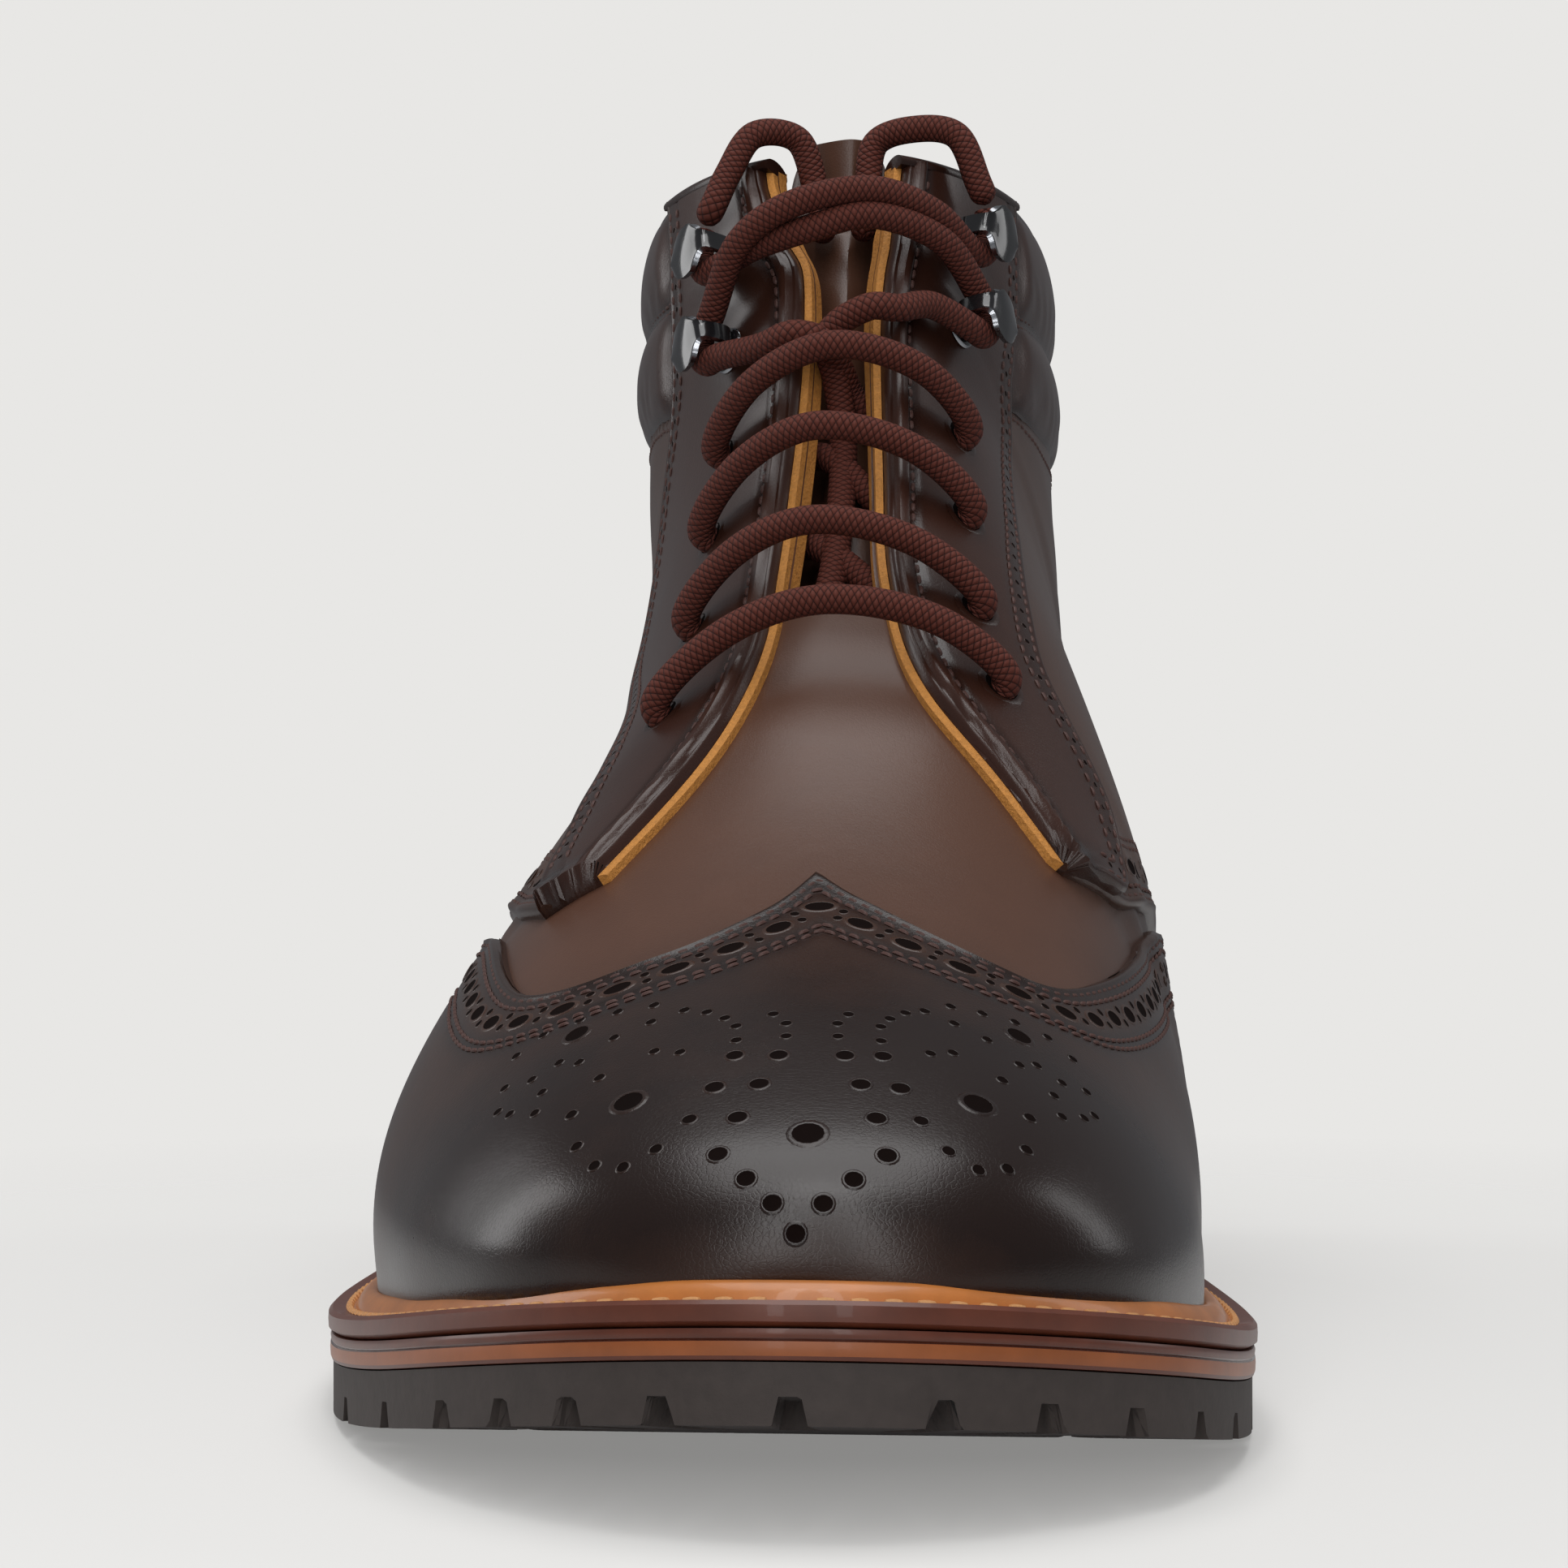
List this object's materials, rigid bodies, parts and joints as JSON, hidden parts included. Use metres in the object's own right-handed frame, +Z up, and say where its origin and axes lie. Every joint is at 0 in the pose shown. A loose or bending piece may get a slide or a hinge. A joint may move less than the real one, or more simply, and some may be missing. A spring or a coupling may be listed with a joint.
{
  "type": "brogue boot",
  "caption": "Dark brown leather lace-up brogue boot for the right foot, with wing toe cap, speed hooks, padded collar and cleated rubber sole.",
  "frame": {"origin": "floor point under the middle of the boot's box, laces' free ends not counted", "axes": "+Z up, toe towards -Y, heel towards +Y, medial side towards +X"},
  "size_m": [0.1179, 0.3079, 0.1761],
  "materials": {
    "rubber": "matt moulded rubber",
    "stacked_leather": "polished edge-stained leather lifts",
    "sole_leather": "edge-stained leather, waxed",
    "lining_leather": "smooth tan lining leather",
    "upper_leather": "waxed brown leather, soft sheen",
    "burnished_leather": "dark burnished leather, polished",
    "hook_metal": "gloss black lacquer over brass-rimmed steel",
    "lace_cord": "round braided waxed cotton"
  },
  "bodies": {
    "root": {"outsole": "rubber", "heel_top_piece": "rubber", "heel_stack": "stacked_leather", "midsole": "sole_leather", "welt": "sole_leather", "insole": "lining_leather", "upper": "upper_leather", "wing_cap": "burnished_leather", "quarter_lateral": "upper_leather", "quarter_medial": "upper_leather", "facing_lateral": "upper_leather", "facing_medial": "upper_leather", "heel_counter": "burnished_leather", "back_strap": "burnished_leather", "collar_pad": "upper_leather", "tongue": "upper_leather", "hook_lower_lateral": "hook_metal", "hook_upper_lateral": "hook_metal", "hook_lower_medial": "hook_metal", "hook_upper_medial": "hook_metal", "lace": "lace_cord", "lace_end_lateral": "lace_cord", "lace_end_medial": "lace_cord"}
  },
  "joints": []
}
